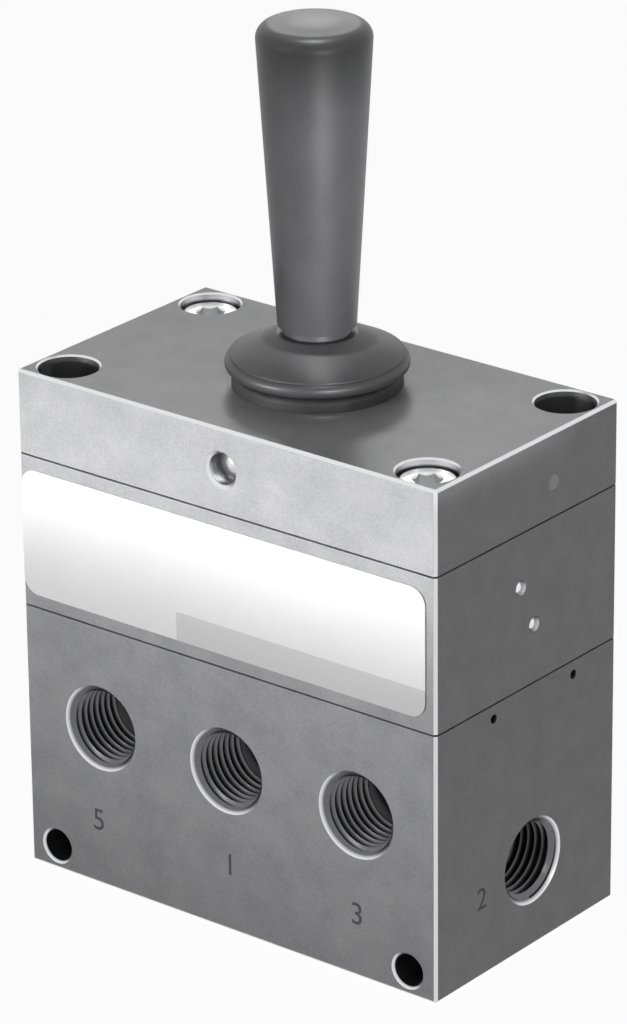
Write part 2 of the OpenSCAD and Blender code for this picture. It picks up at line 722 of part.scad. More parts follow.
// Ported sleeve of a pilot valve, relieved above its upper ring for the vent air
module pilot_sleeve(side) {
    relief = plunger_d + 1;
    color([0.8, 0.66, 0.36]) translate([side * pilot_x, valve_y, 0]) difference() {
        bore(0, 0, sleeve_d, sleeve_z, pilot_top - seat_gap);
        bore(0, 0, plunger_d + 2 * run_gap, sleeve_z - cut, pilot_top + cut);
        bore(0, 0, relief, upper_ring_z + groove_w / 2 + 0.3, pilot_top + cut);
        for (z = [lower_ring_z, upper_ring_z])
            groove(plunger_d / 2, plunger_d / 2 + groove_depth, z, groove_w * 0.8);
        for (z = [lower_ring_z - outer_ring_step, upper_ring_z + outer_ring_step])
            groove(sleeve_d / 2 - groove_depth, sleeve_d / 2 + cut, z, groove_w * 0.8);
        groove(annulus_d / 2, sleeve_d / 2 + cut, supply_level, annulus_h);
        for (a = [0, 90]) rotate([0, 90, a])
            translate([-supply_level, 0, 0]) cylinder(d = 1.2, h = sleeve_d, center = true);
    }
}

module sleeve_rings(side) {
    color([0.08, 0.08, 0.08]) translate([side * pilot_x, valve_y, 0]) {
        for (z = [lower_ring_z, upper_ring_z]) seal_ring(plunger_d / 2 + ring_section / 2, z);
        for (z = [lower_ring_z - outer_ring_step, upper_ring_z + outer_ring_step])
            seal_ring(sleeve_d / 2 - ring_section / 2, z);
    }
}

// Hollow pilot plunger with a domed head, a spring collar and a cross hole
module pilot_plunger(side) {
    dome = sqrt(pow(dome_r, 2) - pow(dome_r + collar_z + collar_t - plunger_top, 2));
    color([0.82, 0.82, 0.84]) translate([side * pilot_x, valve_y, 0]) difference() {
        rotate_extrude() polygon(concat(
            [[0, plunger_foot], [plunger_d / 2 - 0.3, plunger_foot],
            [plunger_d / 2, plunger_foot + 0.3], [plunger_d / 2, collar_z],
            [collar_d / 2, collar_z], [collar_d / 2, collar_z + collar_t]],
            arc(0, plunger_top - dome_r, dome_r, acos(dome / dome_r), 90, 8)));
        bore(0, 0, 1.8, plunger_foot - cut, cross_hole_z);
        translate([0, 0, cross_hole_z]) rotate([90, 0, 0])
            cylinder(d = 1, h = plunger_d + 2 * cut, center = true);
    }
}

module pilot_spring(side) {
    color([0.6, 0.61, 0.63]) translate([side * pilot_x, valve_y, 0])
        coil_spring(pilot_spring_r, pilot_wire, pilot_top - seat_gap, collar_z, pilot_turns);
}

// Rocker on the pivot pin: a hub, two tapered arms and the boss for the lever's rod
module rocker() {
    color([0.5, 0.51, 0.53]) translate([0, lever_y, 0]) difference() {
        union() {
            translate([0, 0, pivot_z]) rotate([90, 0, 0])
                cylinder(d = hub_d, h = hub_l, center = true);
            rotate([90, 0, 0]) linear_extrude(arm_w, center = true) polygon([
                [-arm_l, rocker_under_z], [arm_l, rocker_under_z],
                [arm_l, rocker_under_z + 1.3], [5, rocker_under_z + 4.7],
                [-5, rocker_under_z + 4.7], [-arm_l, rocker_under_z + 1.3]]);
            bore(0, 0, boss_d, pivot_z, boss_top);
        }
        translate([0, 0, pivot_z]) rotate([90, 0, 0])
            cylinder(d = pin_d + 2 * run_gap, h = hub_l + 2 * cut, center = true);
        bore(0, 0, stud_d + 2 * seat_gap, stud_z, boss_top + cut);
    }
}

// Steel rod of the lever: a stud, a shoulder on the boss and a seat for the skirt
module lever_rod() {
    rod_top = handle_z + rod_in_handle;
    color([0.8, 0.8, 0.82]) translate([0, lever_y, 0]) rotate_extrude() polygon([
        [0, stud_z + 0.3], [stud_d / 2, stud_z + 0.3], [stud_d / 2, boss_top + seat_gap],
        [boss_d / 2 - 0.4, boss_top + seat_gap], [boss_d / 2 - 0.4, boss_top + 1.5],
        [rod_d / 2, boss_top + 1.5], [rod_d / 2, hollow_roof - 1.2],
        [collar_seat_r, hollow_roof - 1.2], [collar_seat_r, hollow_roof - seat_gap],
        [rod_d / 2, hollow_roof - seat_gap], [rod_d / 2, rod_top - 0.5],
        [rod_d / 2 - 0.5, rod_top], [0, rod_top]]);
}

// Skirt with a rounded rim, a small step, a cone up to the handle and a hollow turned about the pivot
module lever_skirt() {
    low_angle = asin((skirt_z - pivot_z) / hollow_r);
    high_angle = asin((hollow_roof - pivot_z) / hollow_r);
    step = 0.3;
    e = (rim_h - step) / 2;
    color([0.13, 0.13, 0.14]) translate([0, lever_y, 0]) rotate_extrude() polygon(concat(
        arc(skirt_r - e, skirt_z + e, e, -60, 80, 10),
        [[skirt_r - e + 0.15, skirt_z + rim_h - step], [skirt_r - e + 0.15, skirt_z + rim_h],
        [handle_low_d / 2 + 0.6, handle_z - 0.25], [handle_low_d / 2, handle_z],
        [rod_d / 2 + seat_gap, handle_z], [rod_d / 2 + seat_gap, hollow_roof]],
        arc(0, pivot_z, hollow_r, high_angle, low_angle, 8)));
}

// Tapered handle with a groove around its foot, a rounded top edge and a low crown
module lever_handle() {
    top = handle_z + handle_l;
    crown = 0.5;
    foot_groove = 0.35;
    groove_top = handle_z + 1.1;
    e = 0.15;
    r1 = handle_low_d / 2;
    r2 = handle_top_d / 2;
    bore_r = rod_d / 2 + seat_gap;
    bore_top = handle_z + rod_in_handle + 2.5;
    color([0.13, 0.13, 0.14]) translate([0, lever_y, 0]) rotate_extrude() polygon(concat(
        [[bore_r, handle_z + seat_gap], [r1 - foot_groove, handle_z + seat_gap],
        [r1 - foot_groove, groove_top]],
        arc(r1 - e, groove_top + e, e, -90, 0, 3),
        arc(r2 - handle_edge_r, top - crown - handle_edge_r, handle_edge_r, 0, 82, 8),
        [[r2 * 0.45, top - crown * 0.2], [0, top], [0, bore_top], [bore_r, bore_top - 2]]));
}

valve_body();
body_gasket();
pilot_block();
cover_gasket();
cover_plate();
label_plate();
long_screws();
short_screws();
ball_plugs();
cover_plug();
neck_ring();
pivot_pin();
guide_bush(left);  // guide_bush_left
guide_bush(right);  // guide_bush_right
bush_rings(left);  // bush_rings_left
bush_rings(right);  // bush_rings_right
bush_clip(left);  // bush_clip_left
bush_clip(right);  // bush_clip_right
bottom_plug(left);  // bottom_plug_left
bottom_plug(right);  // bottom_plug_right
plug_ring(left);  // plug_ring_left
plug_ring(right);  // plug_ring_right
pilot_sleeve(left);  // pilot_sleeve_left
pilot_sleeve(right);  // pilot_sleeve_right
sleeve_rings(left);  // sleeve_rings_left
sleeve_rings(right);  // sleeve_rings_right
poppet_stem(left);  // poppet_stem_left
poppet_stem(right);  // poppet_stem_right
piston(left);  // piston_left
piston(right);  // piston_right
piston_lip(left);  // piston_lip_left
piston_lip(right);  // piston_lip_right
piston_nut(left);  // piston_nut_left
piston_nut(right);  // piston_nut_right
exhaust_disc(left);  // exhaust_disc_left
exhaust_disc(right);  // exhaust_disc_right
exhaust_facing(left);  // exhaust_facing_left
exhaust_facing(right);  // exhaust_facing_right
supply_disc(left);  // supply_disc_left
supply_disc(right);  // supply_disc_right
supply_facing(left);  // supply_facing_left
supply_facing(right);  // supply_facing_right
poppet_spring(left);  // poppet_spring_left
poppet_spring(right);  // poppet_spring_right
pilot_plunger(left);  // pilot_plunger_left
pilot_plunger(right);  // pilot_plunger_right
pilot_spring(left);  // pilot_spring_left
pilot_spring(right);  // pilot_spring_right
rocker();
lever_rod();
lever_skirt();
lever_handle();
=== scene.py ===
# Toggle lever valve, dressed over its CAD frame. Metres; +Z up; the face with three ports looks
# towards -Y. The sections follow the valve as it is put together, from the bottom block up.
import json
import math
import bpy
from mathutils import Matrix, Vector


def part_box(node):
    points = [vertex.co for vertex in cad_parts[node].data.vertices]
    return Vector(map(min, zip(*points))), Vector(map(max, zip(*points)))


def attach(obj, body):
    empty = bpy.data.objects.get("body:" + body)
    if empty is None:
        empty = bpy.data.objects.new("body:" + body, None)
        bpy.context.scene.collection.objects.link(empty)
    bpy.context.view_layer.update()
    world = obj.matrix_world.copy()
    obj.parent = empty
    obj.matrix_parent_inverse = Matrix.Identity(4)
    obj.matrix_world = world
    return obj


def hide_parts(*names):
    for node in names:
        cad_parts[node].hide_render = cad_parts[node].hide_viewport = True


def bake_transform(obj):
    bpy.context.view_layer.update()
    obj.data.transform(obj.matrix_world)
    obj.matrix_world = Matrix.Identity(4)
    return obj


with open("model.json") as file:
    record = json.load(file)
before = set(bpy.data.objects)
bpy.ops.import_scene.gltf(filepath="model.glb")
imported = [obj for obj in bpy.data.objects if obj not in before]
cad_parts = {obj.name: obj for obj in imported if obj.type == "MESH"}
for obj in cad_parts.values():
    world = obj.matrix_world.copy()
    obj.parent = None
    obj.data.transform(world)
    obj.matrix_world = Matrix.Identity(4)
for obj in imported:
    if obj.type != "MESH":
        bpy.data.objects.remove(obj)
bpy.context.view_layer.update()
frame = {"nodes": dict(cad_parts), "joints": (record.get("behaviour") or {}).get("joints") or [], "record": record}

nodes = frame["nodes"]
MM = 0.001

# Valve body
# Bottom block of the stack, cut from drawn aluminium bar, blasted with fine grit and anodised
# dull grey. Its ports, holes and edge chamfers are machined afterwards and stay bare, bright at
# their edges and painted darker deeper in, as painted shade in the bores.

SKIN_T = 0.02 * MM
# Bright bare metal reaches only this far into the body's holes; deeper in it carries painted shade.
BODY_RIM = 0.18 * MM
RIM_FADE = 0.3 * MM
BRIGHT_METAL = (0.74, 0.74, 0.75, 1)
# Painted shade: the darker colour of bare metal deeper in the bores than a block's rim depth.
PAINTED_SHADE_METAL = (0.30, 0.30, 0.305, 1)


def feed(tree, node, inputs):
    """Gives each named input of a node a plain value or another node's output."""
    for socket, value in inputs.items():
        if isinstance(value, bpy.types.NodeSocket):
            tree.links.new(value, node.inputs[socket])
        else:
            node.inputs[socket].default_value = value


def add_node(tree, kind, inputs=None, **options):
    """Adds a node, sets its options and then its inputs, and returns its outputs."""
    node = tree.nodes.new(kind)
    for option, value in options.items():
        setattr(node, option, value)
    feed(tree, node, inputs or {})
    return node.outputs


def maths(tree, operation, *values):
    return add_node(tree, "ShaderNodeMath", dict(enumerate(values)), operation=operation)[0]


def ranged(tree, value, low, high, start=0, end=1):
    """Goes from start to end as the value goes from low to high."""
    return add_node(tree, "ShaderNodeMapRange", {"Value": value, "From Min": low, "From Max": high,
                                                 "To Min": start, "To Max": end})["Result"]


def object_axes(tree):
    """The x, y and z of the point in the piece's own space."""
    place = add_node(tree, "ShaderNodeTexCoord")["Object"]
    return add_node(tree, "ShaderNodeSeparateXYZ", {0: place})


def new_group(name, inputs, outputs, input_type="NodeSocketFloat"):
    """Starts a node group. Returns the group, the values given to it and its output node."""
    group = bpy.data.node_groups.new(name, "ShaderNodeTree")
    for socket in inputs:
        group.interface.new_socket(socket, in_out="INPUT", socket_type=input_type)
    for socket in outputs:
        group.interface.new_socket(socket, in_out="OUTPUT", socket_type="NodeSocketFloat")
    return group, group.nodes.new("NodeGroupInput").outputs, group.nodes.new("NodeGroupOutput")


def blasted_skin():
    """Tone and height of a grit-blasted, anodised skin: a fine grain over slow cloudy patches."""
    group, sizes, result = new_group("blasted_skin", ("Cloud Size", "Grain Size"), ("Tone", "Height"))
    place = add_node(group, "ShaderNodeTexCoord")["Object"]
    cloud = add_node(group, "ShaderNodeTexNoise", {
        "Vector": place, "Scale": maths(group, "DIVIDE", 1, sizes["Cloud Size"]), "Detail": 3})["Fac"]
    grain = add_node(group, "ShaderNodeTexNoise", {
        "Vector": place, "Scale": maths(group, "DIVIDE", 1, sizes["Grain Size"]), "Detail": 2,
        "Roughness": 0.7})["Fac"]
    grain_share = 0.55
    tone = add_node(group, "ShaderNodeMix", {"Factor": grain_share, "A": cloud, "B": grain})["Result"]
    feed(group, result, {"Tone": tone, "Height": grain})
    return group


def skin_depth():
    """Distance of a point of a block inwards from the nearest of its flat outer faces."""
    group, sizes, result = new_group("skin_depth", ("Half Width", "Half Depth", "Bottom", "Top"), ("Depth",))
    x, y, z = object_axes(group)
    depth = maths(group, "SUBTRACT", sizes["Half Width"], maths(group, "ABSOLUTE", x))
    for gap in (maths(group, "SUBTRACT", sizes["Half Depth"], maths(group, "ABSOLUTE", y)),
                maths(group, "SUBTRACT", sizes["Top"], z),
                maths(group, "SUBTRACT", z, sizes["Bottom"])):
        depth = maths(group, "MINIMUM", depth, gap)
    feed(group, result, {"Depth": depth})
    return group


skin_group = blasted_skin()
depth_group = skin_depth()


def new_material(name, values):
    """Starts a material. Returns it with its tree and its shader, which has the plain values."""
    material = bpy.data.materials.new(name)
    material.use_nodes = True
    tree = material.node_tree
    shader = tree.nodes["Principled BSDF"]
    feed(tree, shader, values)
    return material, tree, shader


def add_skin(tree, cloud, grain):
    return add_node(tree, "ShaderNodeGroup", {"Cloud Size": cloud, "Grain Size": grain}, node_tree=skin_group)


def tint(tree, tone, dark, pale, half_range):
    """Colour that goes from dark to pale while the tone is within half_range of its middle, 0.5."""
    ramp = tree.nodes.new("ShaderNodeValToRGB")
    stops = ramp.color_ramp.elements
    stops[0].position = 0.5 - half_range
    stops[1].position = 0.5 + half_range
    stops[0].color = (*dark, 1)
    stops[1].color = (*pale, 1)
    tree.links.new(tone, ramp.inputs["Fac"])
    return ramp.outputs["Color"]


def mix_colours(tree, share, first, second):
    return add_node(tree, "ShaderNodeMix", {"Factor": share, "A": first, "B": second},
                    data_type="RGBA")["Result"]


def relief(tree, height, strength, depth):
    """Normal of a surface that is raised by the height."""
    return add_node(tree, "ShaderNodeBump", {"Height": height, "Strength": strength,
                                             "Distance": depth})["Normal"]


def anodised_block(name, node, dark, pale, rim):
    """Finish of one block of the stack: dull anodised faces, bare machined chamfers and bores.
    The bare metal is bright down to a depth of rim and painted darker further in, as painted
    shade in the bores."""
    low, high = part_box(node)
    material, tree, shader = new_material(name, {"IOR": 1.5})
    skin = add_skin(tree, cloud=5 * MM, grain=0.35 * MM)
    depth = add_node(tree, "ShaderNodeGroup", {"Half Width": high.x, "Half Depth": high.y, "Bottom": low.z,
                                               "Top": high.z}, node_tree=depth_group)["Depth"]
    bare = ranged(tree, depth, SKIN_T, 2 * SKIN_T)
    # Painted shade: from the rim depth inwards the bare metal turns to the darker colour.
    inside = ranged(tree, depth, rim, rim + RIM_FADE)
    skin_colour = tint(tree, skin["Tone"], dark, pale, half_range=0.14)
    feed(tree, shader, {
        "Base Color": mix_colours(tree, bare, skin_colour, mix_colours(tree, inside, BRIGHT_METAL,
                                                                       PAINTED_SHADE_METAL)),
        "Metallic": bare,
        "Roughness": ranged(tree, bare, 0, 1, start=0.45, end=0.32),
        "Normal": relief(tree, skin["Height"], strength=0.35, depth=0.02 * MM)})
    return material


def finish(piece, material):
    """Gives a piece one finish all over."""
    piece.data.materials.clear()
    piece.data.materials.append(material)


# Painted shade: the body's grey is set a little darker than the blocks above, for light that falls off towards the
# bottom.
body_finish = anodised_block("anodised_body", "valve_body", (0.30, 0.30, 0.31), (0.42, 0.42, 0.43), BODY_RIM)
finish(nodes["valve_body"], body_finish)

# Port threads
# The five ports are countersunk and then tapped, so each thread is cut away by the countersink
# at the mouth. One thread is swept as a ridge on the wall of the bore and copied to each port.

mounts = {mount["name"]: mount for mount in frame["record"]["mounts"]}
PORT_R = mounts["supply_port"]["dims"]["r_mm"] * MM
FRONT_PORTS = ("exhaust_port_left", "supply_port", "exhaust_port_right")
MOUTH_R = 7.1 * MM
MOUTH_DEPTH = 2.2 * MM
CREST_R = 5.73 * MM
INTO_WALL = 0.02 * MM
THREAD_PITCH = 1.337 * MM
THREAD_TURNS = 8
THREAD_START = 0.3 * MM
LEFT, RIGHT = -1, 1
SIDE_NAME = {LEFT: "left", RIGHT: "right"}
NEAR = 0.01 * MM


def start_clean():
    """Leaves edit mode with nothing selected, so that the next tool acts on its own piece alone."""
    if bpy.context.object and bpy.context.object.mode != "OBJECT":
        bpy.ops.object.mode_set(mode="OBJECT")
    bpy.ops.object.select_all(action="DESELECT")


def pick(piece):
    start_clean()
    piece.select_set(True)
    bpy.context.view_layer.objects.active = piece


def settle(piece):
    """Puts a piece's place into its mesh."""
    pick(piece)
    bpy.ops.object.transform_apply(location=True, rotation=True, scale=True)


def edit(piece):
    """Opens a piece in edit mode with all of it selected."""
    pick(piece)
    bpy.ops.object.mode_set(mode="EDIT")
    bpy.ops.mesh.select_all(action="SELECT")


def choose(piece, kind, test):
    """In edit mode, selects only the vertices, edges or faces that pass the test."""
    bpy.ops.mesh.select_mode(type=kind)
    bpy.ops.mesh.select_all(action="DESELECT")
    bpy.ops.object.mode_set(mode="OBJECT")
    mesh = piece.data
    if kind == "FACE":
        for face in mesh.polygons:
            face.select = test(face)
    elif kind == "EDGE":
        for edge in mesh.edges:
            edge.select = test(*(mesh.vertices[i].co for i in edge.vertices))
    else:
        for vertex in mesh.vertices:
            vertex.select = test(vertex.co)
    bpy.ops.object.mode_set(mode="EDIT")


def apply_all(piece):
    pick(piece)
    for modifier in list(piece.modifiers):
        bpy.ops.object.modifier_apply(modifier=modifier.name)


def cut_away(piece, tool):
    """Cuts the tool's shape out of the piece and removes the tool."""
    cut = piece.modifiers.new("cut", "BOOLEAN")
    cut.operation = "DIFFERENCE"
    cut.solver = "EXACT"
    cut.object = tool
    apply_all(piece)
    bpy.data.objects.remove(tool)


def smooth(piece, degrees=30):
    pick(piece)
    bpy.ops.object.shade_smooth_by_angle(angle=math.radians(degrees))


def cone(low_r, high_r, low_z, high_z, sides):
    """Upright cone about the origin, from z = low_z to z = high_z."""
    start_clean()
    bpy.ops.mesh.primitive_cone_add(vertices=sides, radius1=low_r, radius2=high_r, depth=high_z - low_z,
                                    location=(0, 0, (low_z + high_z) / 2))
    settle(bpy.context.object)
    return bpy.context.object


def countersink(piece, mouth_r, face_z, depth, sides):
    """Cuts a countersink of 90 degrees, as wide as mouth_r in the face at z = face_z."""
    above = 0.6 * MM
    cut_away(piece, cone(mouth_r - depth, mouth_r + above, face_z - depth, face_z + above, sides))


def thread_ridge(root_r, crest_r, foot, pitch, turns, steps, root_share, crest_share):
    """Ridge of a screw thread, swept up from z = foot. The shares are its breadth, as a part of
    the pitch at its root and as a part of the root's breadth at its crest."""
    start_clean()
    bpy.ops.mesh.primitive_plane_add(size=1, rotation=(math.pi / 2, 0, 0))
    ridge = bpy.context.object
    settle(ridge)
    ridge.scale = (abs(crest_r - root_r), 1, root_share * pitch)
    ridge.location = ((root_r + crest_r) / 2, 0, foot)
    settle(ridge)
    edit(ridge)
    choose(ridge, "VERT", lambda co: abs(co.x - crest_r) < NEAR)
    bpy.ops.transform.resize(value=(1, 1, crest_share), center_override=(crest_r, 0, foot))
    bpy.ops.mesh.select_all(action="SELECT")
    bpy.ops.mesh.delete(type="ONLY_FACE")
    bpy.ops.object.mode_set(mode="OBJECT")
    sweep = ridge.modifiers.new("turns", "SCREW")
    sweep.axis = "Z"
    sweep.screw_offset = pitch
    sweep.iterations = turns
    sweep.steps = sweep.render_steps = steps
    sweep.use_smooth_shade = False
    apply_all(ridge)
    edit(ridge)
    bpy.ops.mesh.fill_holes(sides=4)
    bpy.ops.mesh.normals_make_consistent(inside=False)
    bpy.ops.object.mode_set(mode="OBJECT")
    return ridge


def port_thread():
    """Thread of one port, with the mouth at z = 0 and the depth along -Z."""
    thread = thread_ridge(PORT_R + INTO_WALL, CREST_R, -THREAD_START - THREAD_TURNS * THREAD_PITCH,
                          THREAD_PITCH, THREAD_TURNS, steps=64, root_share=0.93, crest_share=0.16)
    countersink(thread, MOUTH_R, 0, MOUTH_DEPTH, sides=96)
    smooth(thread)
    return thread


def copy_to(piece, name, location, rotation):
    """Copy of a piece with its own mesh, turned and moved to its place."""
    twin = piece.copy()
    twin.data = piece.data.copy()
    twin.name = name
    bpy.context.scene.collection.objects.link(twin)
    twin.rotation_euler = rotation
    twin.location = location
    settle(twin)
    return twin


def cut_metal(name, colour, roughness):
    """Bare metal fresh from the tool, with faint uneven brightness."""
    material, tree, shader = new_material(name, {"Metallic": 1})
    skin = add_skin(tree, cloud=1.2 * MM, grain=0.12 * MM)
    dark = [0.8 * part for part in colour]
    feed(tree, shader, {
        "Base Color": tint(tree, skin["Tone"], dark, colour, half_range=0.2),
        "Roughness": ranged(tree, skin["Tone"], 0, 1, start=0.8 * roughness, end=1.2 * roughness),
        "Normal": relief(tree, skin["Height"], strength=0.2, depth=0.01 * MM)})
    return material


low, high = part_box("valve_body")
first_thread = port_thread()
# Painted shade: the tapped threads get a dark metal colour, far darker than the bare metal at the port mouths, for
# the shade inside the ports.
finish(first_thread, cut_metal("tapped_aluminium_painted_shade", (0.16, 0.16, 0.165), 0.3))
threads = []
for number, port in enumerate(FRONT_PORTS, start=1):
    x, _, z = mounts[port]["pos_m"]
    threads.append(copy_to(first_thread, f"port_thread_front_{number}", (x, low.y, z), (math.pi / 2, 0, 0)))
for side, side_name in SIDE_NAME.items():
    _, y, z = mounts[f"work_port_{side_name}"]["pos_m"]
    threads.append(copy_to(first_thread, f"port_thread_{side_name}", (side * high.x, y, z),
                           (0, side * math.pi / 2, 0)))
bpy.data.objects.remove(first_thread)
for thread in threads:
    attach(thread, "housing")

# Port numbers
# A plain number stamped beside each port with a punch. Its recess is not cut: a thin dark inlay,
# a few hundredths of a millimetre thick, is painted shade standing for the recess.

NUMBER_SIZE = 5.2 * MM
INLAY_T = 0.03 * MM
DOUBLE = 0.001 * MM
FRONT_MARKS = (("5", -25.8 * MM, 11.0 * MM), ("1", 0.5 * MM, 11.2 * MM), ("3", 25.1 * MM, 10.4 * MM))
SIDE_MARK_Y = -11.2 * MM
SIDE_MARK_Z = 13 * MM
# Painted shade: the dark inlay stands for the shade inside each stamped number's recess.
number_shade_inlay, tree, shader = new_material("number_shade_inlay", {"Roughness": 0.6})
skin = add_skin(tree, cloud=0.9 * MM, grain=0.1 * MM)
feed(tree, shader, {"Base Color": tint(tree, skin["Tone"], (0.035, 0.035, 0.037), (0.10, 0.10, 0.10),
                                       half_range=0.2)})


def stamped_number(digit, location, rotation):
    """Inlay of one number, with its middle at location and half its thickness in the block."""
    start_clean()
    bpy.ops.object.text_add()
    number = bpy.context.object
    number.name = f"number_{digit}"
    number.data.body = digit
    number.data.align_x = "CENTER"
    number.data.align_y = "CENTER"
    number.data.size = NUMBER_SIZE
    number.data.extrude = INLAY_T / 2
    number.data.resolution_u = 6
    pick(number)
    bpy.ops.object.convert(target="MESH")
    number = bpy.context.object
    number.rotation_euler = rotation
    number.location = location
    settle(number)
    edit(number)
    bpy.ops.mesh.remove_doubles(threshold=DOUBLE)
    bpy.ops.mesh.normals_make_consistent(inside=False)
    bpy.ops.object.mode_set(mode="OBJECT")
    finish(number, number_shade_inlay)
    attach(number, "housing")


for digit, x, z in FRONT_MARKS:
    stamped_number(digit, (x, low.y, z), (math.pi / 2, 0, 0))
stamped_number("2", (high.x, SIDE_MARK_Y, SIDE_MARK_Z), (math.pi / 2, 0, math.pi / 2))
stamped_number("4", (low.x, -SIDE_MARK_Y, SIDE_MARK_Z), (math.pi / 2, 0, -math.pi / 2))

# Main poppets, with their bushes and plugs
# Turned brass bushes and discs, ground steel stems, aluminium pistons and plugs from the lathe,
# moulded nitrile rings and facings, and steel clips. Springs of drawn wire lift the poppets.

POPPET_X = 18 * MM
VALVE_Y = mounts["work_port_left"]["pos_m"][1]
MARKS_PER_METRE = 6 / MM
BRASS = (0.80, 0.58, 0.27)
GROUND_STEEL = (0.66, 0.66, 0.67)


def lathe_marks():
    """Fine tool marks round a lathe axis that stands on the origin of Place."""
    group, given, result = new_group("lathe_marks", ("Place",), ("Marks",), "NodeSocketVector")
    x, y, z = add_node(group, "ShaderNodeSeparateXYZ", {0: given["Place"]})
    across = add_node(group, "ShaderNodeCombineXYZ", {"X": x, "Y": y})[0]
    radius = add_node(group, "ShaderNodeVectorMath", {0: across}, operation="LENGTH")["Value"]
    section = add_node(group, "ShaderNodeCombineXYZ", {"X": radius, "Z": z})[0]
    marks = add_node(group, "ShaderNodeTexNoise", {"Vector": section, "Scale": MARKS_PER_METRE, "Detail": 2})
    feed(group, result, {"Marks": marks["Fac"]})
    return group


lathe_group = lathe_marks()


def turned_metal(name, colour, roughness, axis_x, axis_y):
    """Metal turned about the upright axes at x = axis_x and x = -axis_x."""
    material, tree, shader = new_material(name, {"Metallic": 1})
    x, y, z = object_axes(tree)
    mirrored = add_node(tree, "ShaderNodeCombineXYZ", {"X": maths(tree, "ABSOLUTE", x), "Y": y, "Z": z})[0]
    centred = add_node(tree, "ShaderNodeVectorMath", {0: mirrored, 1: (axis_x, axis_y, 0)},
                       operation="SUBTRACT")[0]
    marks = add_node(tree, "ShaderNodeGroup", {"Place": centred}, node_tree=lathe_group)["Marks"]
    dark = [0.78 * part for part in colour]
    feed(tree, shader, {
        "Base Color": tint(tree, marks, dark, colour, half_range=0.2),
        "Roughness": ranged(tree, marks, 0, 1, start=0.7 * roughness, end=1.3 * roughness),
        "Normal": relief(tree, marks, strength=0.4, depth=0.01 * MM)})
    return material


def moulded_rubber(name, dark, pale, roughness):
    """Dull black rubber with a faint bloom."""
    material, tree, shader = new_material(name, {"Roughness": roughness, "Specular IOR Level": 0.3})
    skin = add_skin(tree, cloud=2.5 * MM, grain=0.2 * MM)
    feed(tree, shader, {
        "Base Color": tint(tree, skin["Tone"], dark, pale, half_range=0.15),
        "Normal": relief(tree, skin["Height"], strength=0.3, depth=0.02 * MM)})
    return material


def working_spring(node):
    """Stands for a CAD spring: a merged and smoothed copy of its mesh, with the CAD piece hidden."""
    finish(nodes[node], spring_wire)
    spring = bpy.data.objects.new(f"{node}_coil", nodes[node].data.copy())
    bpy.context.scene.collection.objects.link(spring)
    edit(spring)
    bpy.ops.mesh.remove_doubles(threshold=DOUBLE)
    smooth(spring)
    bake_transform(spring)
    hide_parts(node)


turned_brass = turned_metal("turned_brass", BRASS, 0.26, POPPET_X, VALVE_Y)
turned_aluminium = turned_metal("turned_aluminium", (0.74, 0.74, 0.75), 0.32, POPPET_X, VALVE_Y)
ground_stem = turned_metal("ground_stem", GROUND_STEEL, 0.16, POPPET_X, VALVE_Y)
nitrile = moulded_rubber("nitrile", (0.018, 0.018, 0.018), (0.035, 0.035, 0.035), 0.55)
spring_wire = cut_metal("spring_wire", (0.55, 0.56, 0.58), 0.24)
clip_steel = cut_metal("clip_steel", (0.20, 0.20, 0.21), 0.36)
POPPET_FINISHES = (
    (turned_brass, ("guide_bush", "exhaust_disc", "supply_disc")),
    (turned_aluminium, ("bottom_plug", "piston")),
    (ground_stem, ("poppet_stem", "piston_nut")),
    (nitrile, ("bush_rings", "plug_ring", "piston_lip", "exhaust_facing", "supply_facing")),
    (clip_steel, ("bush_clip",)))
for side in SIDE_NAME.values():
    for material, pieces in POPPET_FINISHES:
        for piece in pieces:
            finish(nodes[f"{piece}_{side}"], material)
    working_spring(f"poppet_spring_{side}")

# Middle block and its gaskets
# A second anodised bar block, sealed above and below by thin dark sheets whose edges show as
# fine black lines between the blocks.

# Bright bare metal reaches this far into the middle block's and cover's holes before their painted shade.
UPPER_RIM = 0.9 * MM
# Painted light: the middle block's grey lies between the body's and the cover's, for light that falls off
# downwards.
middle_finish = anodised_block("anodised_middle", "pilot_block", (0.32, 0.32, 0.33), (0.44, 0.44, 0.45),
                               UPPER_RIM)
finish(nodes["pilot_block"], middle_finish)
gasket_sheet = moulded_rubber("gasket_sheet", (0.02, 0.02, 0.02), (0.05, 0.05, 0.05), 0.7)
finish(nodes["body_gasket"], gasket_sheet)
finish(nodes["cover_gasket"], gasket_sheet)

# Label
# A white satin film stuck on the front of the middle block, with a plain pale grey bar along
# its lower right part.

BAR_LEFT = -9 * MM
BAR_TOP = 51.1 * MM
BAR_GREY = (0.70, 0.70, 0.70, 1)
label_film, tree, shader = new_material("label_film", {"Roughness": 0.45, "Specular IOR Level": 0.35})
x, _, z = object_axes(tree)
bar = maths(tree, "MULTIPLY", maths(tree, "GREATER_THAN", x, BAR_LEFT), maths(tree, "LESS_THAN", z, BAR_TOP))
skin = add_skin(tree, cloud=9 * MM, grain=0.4 * MM)
white = tint(tree, skin["Tone"], (0.86, 0.86, 0.86), (0.92, 0.92, 0.92), half_range=0.2)
feed(tree, shader, {"Base Color": mix_colours(tree, bar, white, BAR_GREY)})
finish(nodes["label_plate"], label_film)

# Pilot valves
# Two ported brass sleeves with ground steel plungers, light springs and nitrile rings. The
# drillings that join them are closed by polished steel balls pressed in from the side faces.

